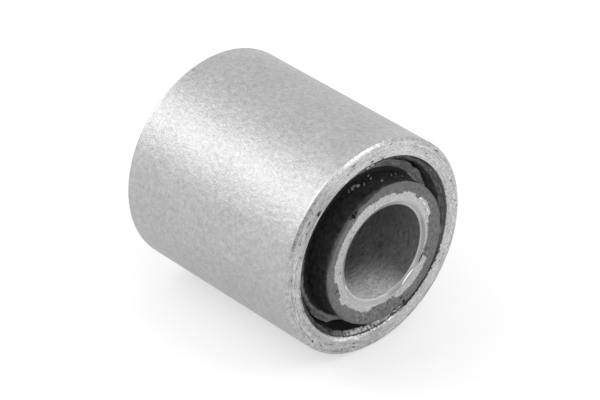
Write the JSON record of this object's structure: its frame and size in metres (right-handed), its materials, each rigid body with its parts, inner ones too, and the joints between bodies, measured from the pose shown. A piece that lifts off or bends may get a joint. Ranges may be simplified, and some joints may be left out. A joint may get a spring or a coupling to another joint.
{
  "type": "rubber metal bush",
  "caption": "Cylindrical suspension bush: an outer and an inner steel sleeve bonded to a moulded rubber element that cushions a pivot or mounting bolt.",
  "frame": {"origin": "centre of the inner sleeve's lower end face, on the surface that the bush stands on", "axes": "+Z along the bush's axis, from the plain end to the end with the skin of flash"},
  "size_m": [0.032, 0.032, 0.0368],
  "materials": {
    "turned_steel": "bare turned steel, fine turning marks on the end face and inside the bore",
    "blasted_steel": "matt grey blasted steel with a fine mottle, turned end faces with small pits",
    "moulded_rubber": "matt black moulded rubber, greyer where it was wiped over the end face"
  },
  "bodies": {
    "root": {"inner_sleeve": "turned_steel", "outer_sleeve": "blasted_steel", "rubber_element": "moulded_rubber"}
  },
  "joints": []
}
